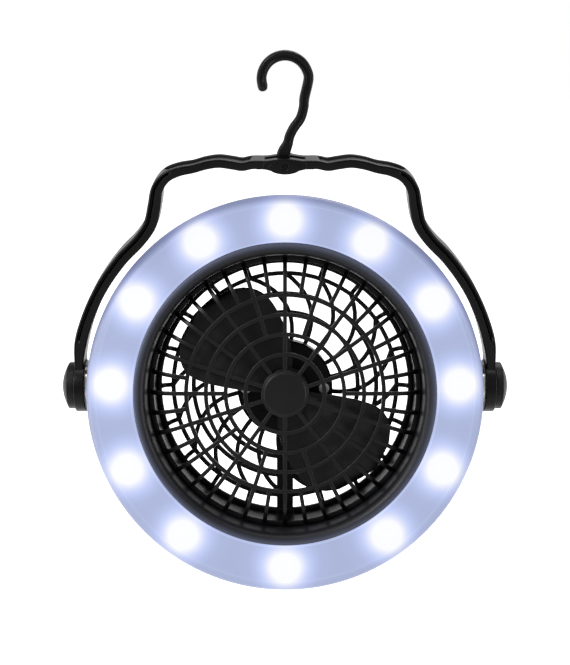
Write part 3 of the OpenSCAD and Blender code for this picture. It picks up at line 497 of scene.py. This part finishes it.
def makeRearGrille(look):
    shape = bmesh.new()
    half, back = look["bar"] / 2, look["back"]
    for radius in look["rings"]:
        ring = turned([(radius - half, back), (radius + half, back),
                       (radius + half, back + look["depth"]), (radius - half, back + look["depth"])])
        roundEdges(ring, look["edge"])
        addCopies(shape, ring)
    foot = look["rimFace"] - look["foot"]
    start = back + look["drop"] / 2
    reach = look["rimOut"] - look["foot"] - look["turn"]

    def side(inset):
        return arc((look["turn"], foot), (reach - inset, start + inset - foot), 90, 0, 10)
    end = flatBar(side(0) + side(look["depth"])[::-1], look["bar"])
    roundEdges(end, look["edge"])
    # a swept spoke, as a flat bar bent in the plane of the rings
    inner, outer, last = look["pod"] - 1, look["rings"][2], look["bends"]
    line = []
    for i in range(last + 1):
        u = i / last
        radius = inner + u * (outer - inner)
        turn = math.radians(look["sweep"] * (u * u - 1))
        line.append(Vector((radius * math.cos(turn), 0, radius * math.sin(turn))))
    sides = []
    for i in range(last + 1):
        along = (line[min(i + 1, last)] - line[max(i - 1, 0)]).normalized()
        sides.append(Vector((along.z, 0, -along.x)) * half)
    outline = [point + out for point, out in zip(line, sides)]
    outline += [point - out for point, out in zip(line[::-1], sides[::-1])]
    swept = bmesh.new()
    low = back + look["drop"]
    face = swept.faces.new([swept.verts.new((p.x * mm, -low * mm, p.z * mm)) for p in outline])
    drawOut(swept, [face], (0, -look["depth"], 0))
    roundEdges(swept, look["edge"])
    angles = [270 + i * 360 / look["spokes"] for i in range(look["spokes"])]
    addCopies(shape, swept, angles)
    addCopies(shape, end, angles)
    rimIn = look["rimOut"] - look["rimWide"]
    rim = turned([(rimIn, look["rimBack"]), (look["rimOut"], look["rimBack"]),
                  (look["rimOut"], look["rimFace"]), (rimIn, look["rimFace"])])
    roundEdges(rim, look["edge"])
    addCopies(shape, rim)
    wall, (inward, onward) = look["pod"] - look["podWall"], look["podSlope"]
    top = back - look["podRise"]
    pod = turned([(0, top), (look["pod"] - inward, top), (look["pod"], top + onward),
                  (look["pod"], look["podFront"]), (wall, look["podFront"]),
                  (wall, look["podFloor"]), (0, look["podFloor"])])
    roundEdges(pod, look["blockEdge"], 25)
    addCopies(shape, pod)
    channel = flatBar([(look["pod"], back - look["drop"]), (look["rimOut"], back - look["drop"]),
                       (look["rimOut"], look["channelFace"]), (look["pod"], look["channelFace"])],
                      look["channel"])
    roundEdges(channel, look["blockEdge"])
    addCopies(shape, channel, [270])
    return finishPiece("rear_guard", shape, "rear_grille", finish="guard_plastic")


makeRearGrille(rearGrille)
print("guards made")

# Rotor: two wide swept blades on a cupped hub
rotor = {
    "hub": 9.8, "hubWall": 1.6, "hubFront": 5, "hubBack": -10.65, "web": 3, "boss": 3, "bore": 1.05,
    "boreDepth": 1.9, "edge": 0.5,
    "tip": 48.8, "thick": 1.6, "rise": 9, "forward": -1,
    "middle": 136, "lead": 11,           # degrees of a blade's middle, and how far its root runs behind
    "half": (56, -40, 21), "round": 7,   # half its width in degrees along the blade, and the tip's round
    "twist": 80,
}


def makeRotor(look):
    shape = bmesh.new()
    blade = bmesh.new()
    root, slope, flare = look["half"]
    bmesh.ops.create_grid(blade, x_segments=28, y_segments=28, size=1)
    for vert in blade.verts:
        u, v = (vert.co.x + 1) / 2, vert.co.y
        radius = look["hub"] - 1 + u * (look["tip"] - look["hub"] + 1)
        half = (root + slope * u + flare * u * u) * math.sqrt(1 - u ** look["round"] * 0.985)
        turn = math.radians(look["middle"] - look["lead"] * (1 - u) ** 2 + v * half)
        lift = look["rise"] / 2 * math.sin(math.radians(v * look["twist"]))
        forward = look["forward"] + lift - look["thick"] / 2
        vert.co = Vector((radius * math.cos(turn), -forward, radius * math.sin(turn))) * mm
    drawOut(blade, blade.faces[:], (0, -look["thick"], 0))
    roundEdges(blade, look["edge"], 60, 3)
    addCopies(shape, blade, [0, 180])
    front, back, web = look["hubFront"], look["hubBack"], look["hubFront"] - look["web"]
    wall, deep = look["hub"] - look["hubWall"], look["hubFront"] - look["boreDepth"]
    hub = turned([(0, front), (look["hub"], front), (look["hub"], back), (wall, back), (wall, web),
                  (look["boss"], web), (look["boss"], back), (look["bore"], back), (look["bore"], deep),
                  (0, deep)], 64)
    roundEdges(hub, look["edge"], 40)
    addCopies(shape, hub)
    return finishPiece("two_blade_rotor", shape, "fan_rotor", finish="rotor_plastic")


makeRotor(rotor)
print("rotor made")

# Hook: a rounded rod with a groove in each face, waved like the bar that it folds beside
hinge = Vector(joints["hook_swing"]["pos_m"])
hook = {
    "width": 3.8, "depth": 4, "round": 1.2, "groove": 0.7,
    "bend": 8.9, "height": 32.4,  # radius of the bend and its height over the pin
    "opening": (198, 22, 8),      # degrees where the bend starts and ends, and its knots less one
    "eye": 3.1, "hole": 1.38, "eyeEdge": 0.4,
    "shank": [(7.4, 25.4, 1), (7.1, 21.8, 1), (5.9, 17.6, 1), (3.4, 14, 1), (1.8, 10.8, 1), (1.1, 8, 1.05),
              (-0.2, 5, 1.3), (-0.5, 3, 1.4), (0, 0, 1)],  # across, up and share of the width
    "rodEnd": 2.2,                # the rod ends inside the eye, this far over the pin
}


def makeHook(look):
    first, last, count = look["opening"]
    bend = arc((0, look["height"]), (look["bend"], look["bend"]), first, last, count)
    knots = [(x, z, look["width"]) for x, z in bend]
    knots.append((look["bend"], look["height"], look["width"]))
    knots += [(x, z, look["width"] * share) for x, z, share in look["shank"]]
    deep, soft = look["depth"] / 2, look["round"]

    def outline(knot, half):
        sunk = look["groove"] * rise(knot, 0.5, len(knots) - 4, 0.4)
        points = []
        corners = ((1, 1), (-1, 1), (-1, -1), (1, -1))
        for turn, (right, front) in enumerate(corners):
            points += arc((right * (half - soft), front * (deep - soft)), (soft, soft),
                          turn * 90, turn * 90 + 90, 4)
            if right == front:  # the grooved face follows this corner
                points += [(right * half * a, right * (deep - sunk * d))
                           for a, d in ((0.4, 0.15), (0.3, 1), (-0.3, 1), (-0.4, 0.15))]
        return points
    line = [item for item in smoothLine(knots, 6) if item[1].y > look["rodEnd"]]
    rings = ringsAlong(line, outline)
    # the free end closes in a round
    back = (line[0][1] - line[1][1]).normalized()
    middle = Vector((line[0][1].x, 0, line[0][1].y))
    tip = []
    for turn in (88, 70, 50, 28):
        shrink = math.cos(math.radians(turn))
        out = Vector((back.x, 0, back.y)) * look["width"] / 2 * math.sin(math.radians(turn))
        tip.append([middle + (point - middle) * shrink + out for point in rings[0]])
    shape = skinned(tip + rings)
    eye = turned([(look["hole"], -deep), (look["eye"], -deep), (look["eye"], deep), (look["hole"], deep)], 48)
    roundEdges(eye, look["eyeEdge"])
    addPlaced(shape, eye, Matrix.Identity(4))
    bmesh.ops.translate(shape, vec=hinge, verts=shape.verts)
    return finishPiece("hook_rod", shape, "hook", local=False)


makeHook(hook)

# Handle: a bail that hugs the ring, turns up to the shoulders and runs across in finger waves
pivot = Vector(joints["head_tilt"]["pos_m"])
handle = {
    "depth": 12, "bar": 92, "grip": 3.3,  # the bar's middle over the pivot, and its thickness
    "wave": 0.55,                         # how far it rises beside the hub
    "waves": [(12.5, 0.6, 1), (16.5, -0.1, 1), (20.5, 0.5, 1), (25.5, 1.1, 1), (30.5, 0.4, 1),
              (35.5, -1, 1), (41, -2.1, 1.1)],  # across, up from the bar, share of its thickness
    "shoulder": [(46, -4.4, 4.2), (49.4, -9, 4.7), (50.7, -15.5, 5.1), (52.6, -23, 5.2)],
    "arm": 5, "hug": 84.6, "angles": [47.5, 41, 34, 27.5, 20.5, 14],  # where the arm hugs the ring
    "pocket": 1.8, "pockets": (8.6, 18), "trough": (2, 9),  # depth in mm, and reach in knots
    "round": 0.32,                        # share of half the thickness that a corner's round takes
    "lug": 10.8, "lugIn": 81, "lugThick": 4.4, "hole": 5.08, "lugEdge": 0.5,
    "lugKnots": (12, 5, 0),               # heights over the pivot where the arm runs down the lug
    "lugInset": 0.6, "armEnd": 6.8,       # it is thinner than the lug there, and ends inside it
    "slot": 2.3, "slotHalf": 7.53,        # half the slot that the hook folds into, and half its length
    "hubHalf": 9, "hubHeight": 6, "cheekEdge": 0.28, "inside": 0.02,
    "lozenge": 6.4, "lozengeFlat": 2.8, "lozengeFace": 6.4, "lozengeThick": 1.2, "lozengeEdge": 0.25,
    "pinHole": 1.4,
}


def makeHandle(look):
    top, grip = look["bar"], look["grip"]
    knots = [(0, top, grip), (7, top + look["wave"], grip)]
    knots += [(x, top + z, grip * share) for x, z, share in look["waves"]]
    knots += [(x, top + z, width) for x, z, width in look["shoulder"]]
    for angle in look["angles"]:
        turn = math.radians(angle)
        knots.append((look["hug"] * math.cos(turn), look["hug"] * math.sin(turn), look["arm"]))
    lugOut = look["lugIn"] + look["lugThick"]
    lugMiddle = (look["lugIn"] + lugOut) / 2
    knots += [(lugMiddle, height, look["lugThick"] - look["lugInset"]) for height in look["lugKnots"]]
    deep = look["depth"] / 2

    def outline(knot, half):  # across is inward from the handle's outside
        soft = look["round"] * half
        sunk = look["pocket"] * rise(knot, *look["pockets"], 0.13)
        low = half * 0.5 * rise(knot, *look["trough"], 0.25)
        points = []
        for front in (1, -1):
            corners = [arc((half - soft, front * (deep - soft)), (soft, front * soft), 0, 90, 3),
                       arc((soft - half, front * (deep - soft)), (soft, front * soft), 90, 180, 3)]
            face = [(half * a, front * (deep - sunk * d)) for a, d in (
                (-0.1, 0), (-0.16, 0.12), (-0.2, 1), (-0.74, 1), (-0.78, 0.12), (-0.81, 0))]
            trough = [(low * d - half, front * y) for y, d in ((4.4, 0), (4, 0.15), (3.8, 1))]
            part = corners[0] + face + corners[1] + trough
            points += part if front == 1 else part[::-1]
        return points
    line = [item for item in smoothLine(knots, 8)
            if item[1].x > look["slotHalf"] and item[1].y > look["armEnd"]]
    arm = skinned(ringsAlong(line, outline))
    lug = turned([(look["hole"], -lugOut), (look["lug"], -lugOut),
                  (look["lug"], -look["lugIn"]), (look["hole"], -look["lugIn"])], 72)
    roundEdges(lug, look["lugEdge"])
    addPlaced(arm, lug, Matrix.Rotation(math.radians(-90), 4, "Z"))
    shape = bmesh.new()
    addPlaced(shape, arm, Matrix.Identity(4))
    addPlaced(shape, arm, Matrix.Scale(-1, 4, (1, 0, 0)))
    # the hub's two cheeks: the bar goes on through them and swells in the middle
    above, below = [], []
    for i in range(-20, 21):
        swell = (1 + math.cos(math.radians(min(abs(11.25 * i), 180)))) / 2
        thick = (grip + (look["hubHeight"] - grip) * swell) / 2 - look["inside"]
        middle = look["wave"] * min(abs(i) / 14, 1)
        above.append((look["hubHalf"] * i / 16, -middle - thick))
        below.append((look["hubHalf"] * i / 16, thick - middle))
    cheek = flatBar(above + below[::-1], deep - look["slot"] - look["inside"])
    roundEdges(cheek, look["cheekEdge"], 50)
    # the lozenge on each, with the sunken end of the pin
    tall = look["hubHeight"] / 2
    badge = bmesh.new()
    lozenge = [(look["lozengeFlat"], tall), (-look["lozengeFlat"], tall)]
    lozenge += arc((0, 0), (look["lozenge"], tall), 180, 360, 20)
    hole = arc((0, 0), (look["pinHole"], look["pinHole"]), 0, 345, 23)
    for points in (lozenge, hole):
        ring = [badge.verts.new((x * mm, z * mm, 0)) for x, z in points]
        for i in range(len(ring)):
            badge.edges.new((ring[i - 1], ring[i]))
    bmesh.ops.bridge_loops(badge, edges=badge.edges)
    drawOut(badge, badge.faces[:], (0, 0, look["lozengeThick"]))
    roundEdges(badge, look["lozengeEdge"], 50)
    cheekAt, badgeAt = (deep + look["slot"]) / 2, look["lozengeFace"] - look["lozengeThick"]
    for turn in (0, 180):
        upright = (Matrix.Translation((0, 0, top * mm)) @ Matrix.Rotation(math.radians(turn), 4, "Z")
                   @ Matrix.Rotation(math.radians(90), 4, "X"))
        addPlaced(shape, cheek, upright @ Matrix.Translation((0, 0, cheekAt * mm)))
        addPlaced(shape, badge, upright @ Matrix.Translation((0, 0, badgeAt * mm)))
    bmesh.ops.translate(shape, vec=pivot, verts=shape.verts)
    return finishPiece("bail_handle", shape, "handle", local=False)


makeHandle(handle)
print("hook and handle made")

# Side knobs: a plain cylinder with a low domed cap, and the stub that turns in the handle's end
knob = {
    "radius": 9.6, "from": 85.45, "thick": 5.6, "edge": 0.25,
    "wall": 0.5,  # share of the thickness that is straight, under the dome
    "stub": 5, "stubFrom": 73.35,
}


def makeKnob(look, name, node, turn):
    wall = look["from"] + look["thick"] * look["wall"]
    swell = look["thick"] * (1 - look["wall"])
    dome = [(look["radius"] * (1 - part), -wall - swell * (1 - (1 - part) ** 2))
            for part in [i / 10 for i in range(11)]]
    shape = turned([(0, -look["stubFrom"]), (look["stub"], -look["stubFrom"]),
                    (look["stub"], -look["from"]), (look["radius"], -look["from"])] + dome)
    roundEdges(shape, look["edge"], 20)
    place = Matrix.Translation(pivot) @ Matrix.Rotation(math.radians(turn + 90), 4, "Z")
    bmesh.ops.transform(shape, matrix=place, verts=shape.verts)
    return finishPiece(name, shape, node, local=False)


makeKnob(knob, "knob_cap_right", "knob_right", 0)
makeKnob(knob, "knob_cap_left", "knob_left", 180)
print("knobs made")

# Moulded pieces that keep their own shape, with the small radii that a mould leaves
softEdges = {
    "bezel": ("front_bezel", {"edge": 0.25, "finish": "bezel_plastic"}),
    "shell": ("rear_housing", {"edge": 0.25, "angle": 40}),
    "door_left": ("battery_door_left", {"edge": 0.2}),
    "door_right": ("battery_door_right", {"edge": 0.2}),
    # the pin's steel is darkened as painted shade for its sunken hole
    "pin": ("hook_pin", {"edge": 0.45, "segments": 3, "finish": "shade_dark_steel"}),
    "slider": ("fan_slider", {"edge": 0.2}),
    "button": ("light_button", {"edge": 0.2}),
}
for name, (node, look) in softEdges.items():
    softEdgedCopy(name, node, look)
    print("rounded", node)

# Floor and light
surroundings = {
    "floorDrop": 0.26,  # metres below the lowest point
    "floorSize": 6,
    "floor": "#f4f4f2",
    "ambient": 0.4,     # strength of the even light from all round
}
low = min(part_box(node)[0].z for node in nodes) - surroundings["floorDrop"]
floorShape = bmesh.new()
bmesh.ops.create_grid(floorShape, x_segments=1, y_segments=1, size=surroundings["floorSize"] / 2)
bmesh.ops.translate(floorShape, vec=(0, 0, low), verts=floorShape.verts)
floorMesh = bpy.data.meshes.new("floor")
floorShape.to_mesh(floorMesh)
floorShape.free()
floor = bpy.data.objects.new("floor", floorMesh)
bpy.context.scene.collection.objects.link(floor)
floorMaterial, tree = newMaterial("pale studio floor")
matt = addNode(tree, "ShaderNodeBsdfDiffuse", {"Color": linearColour(surroundings["floor"])})
white = addNode(tree, "ShaderNodeEmission", {"Color": (1, 1, 1, 1), "Strength": seenDirectly(tree)})
both = addNode(tree, "ShaderNodeAddShader", {0: matt, 1: white})
floorMesh.materials.append(finishMaterial(floorMaterial, tree, both))

world = bpy.data.worlds.new("studio")
bpy.context.scene.world = world
world.use_nodes = True
tree = world.node_tree
tree.nodes.clear()
level = addNode(tree, "ShaderNodeMapRange", {
    "Value": seenDirectly(tree), "To Min": surroundings["ambient"], "To Max": 1})
sky = addNode(tree, "ShaderNodeBackground", {"Color": (1, 1, 1, 1), "Strength": level})
addNode(tree, "ShaderNodeOutputWorld", {"Surface": sky})

# softboxes in metres and watts
softboxes = {
    "key": {"place": (-0.6, -0.5, 0.5), "size": (0.45, 0.45), "power": 15},
    "left": {"place": (-0.9, -0.15, -0.1), "size": (0.25, 0.8), "power": 8},
    "right": {"place": (0.9, -0.25, 0), "size": (0.25, 0.8), "power": 8},
    "top": {"place": (0, -0.1, 0.8), "size": (0.8, 0.25), "power": 5},
    "back": {"place": (0.3, 0.8, 0.7), "size": (0.5, 0.5), "power": 5},
}
middle = Vector((0, 0, -0.1))
for name, box in softboxes.items():
    lamp = bpy.data.lights.new(name, "AREA")
    lamp.shape = "RECTANGLE"
    lamp.size, lamp.size_y = box["size"]
    lamp.energy = box["power"]
    lampObject = bpy.data.objects.new(name, lamp)
    lampObject.location = box["place"]
    lampObject.rotation_euler = (middle - Vector(box["place"])).to_track_quat("-Z", "Y").to_euler()
    bpy.context.scene.collection.objects.link(lampObject)
print("floor and light set")
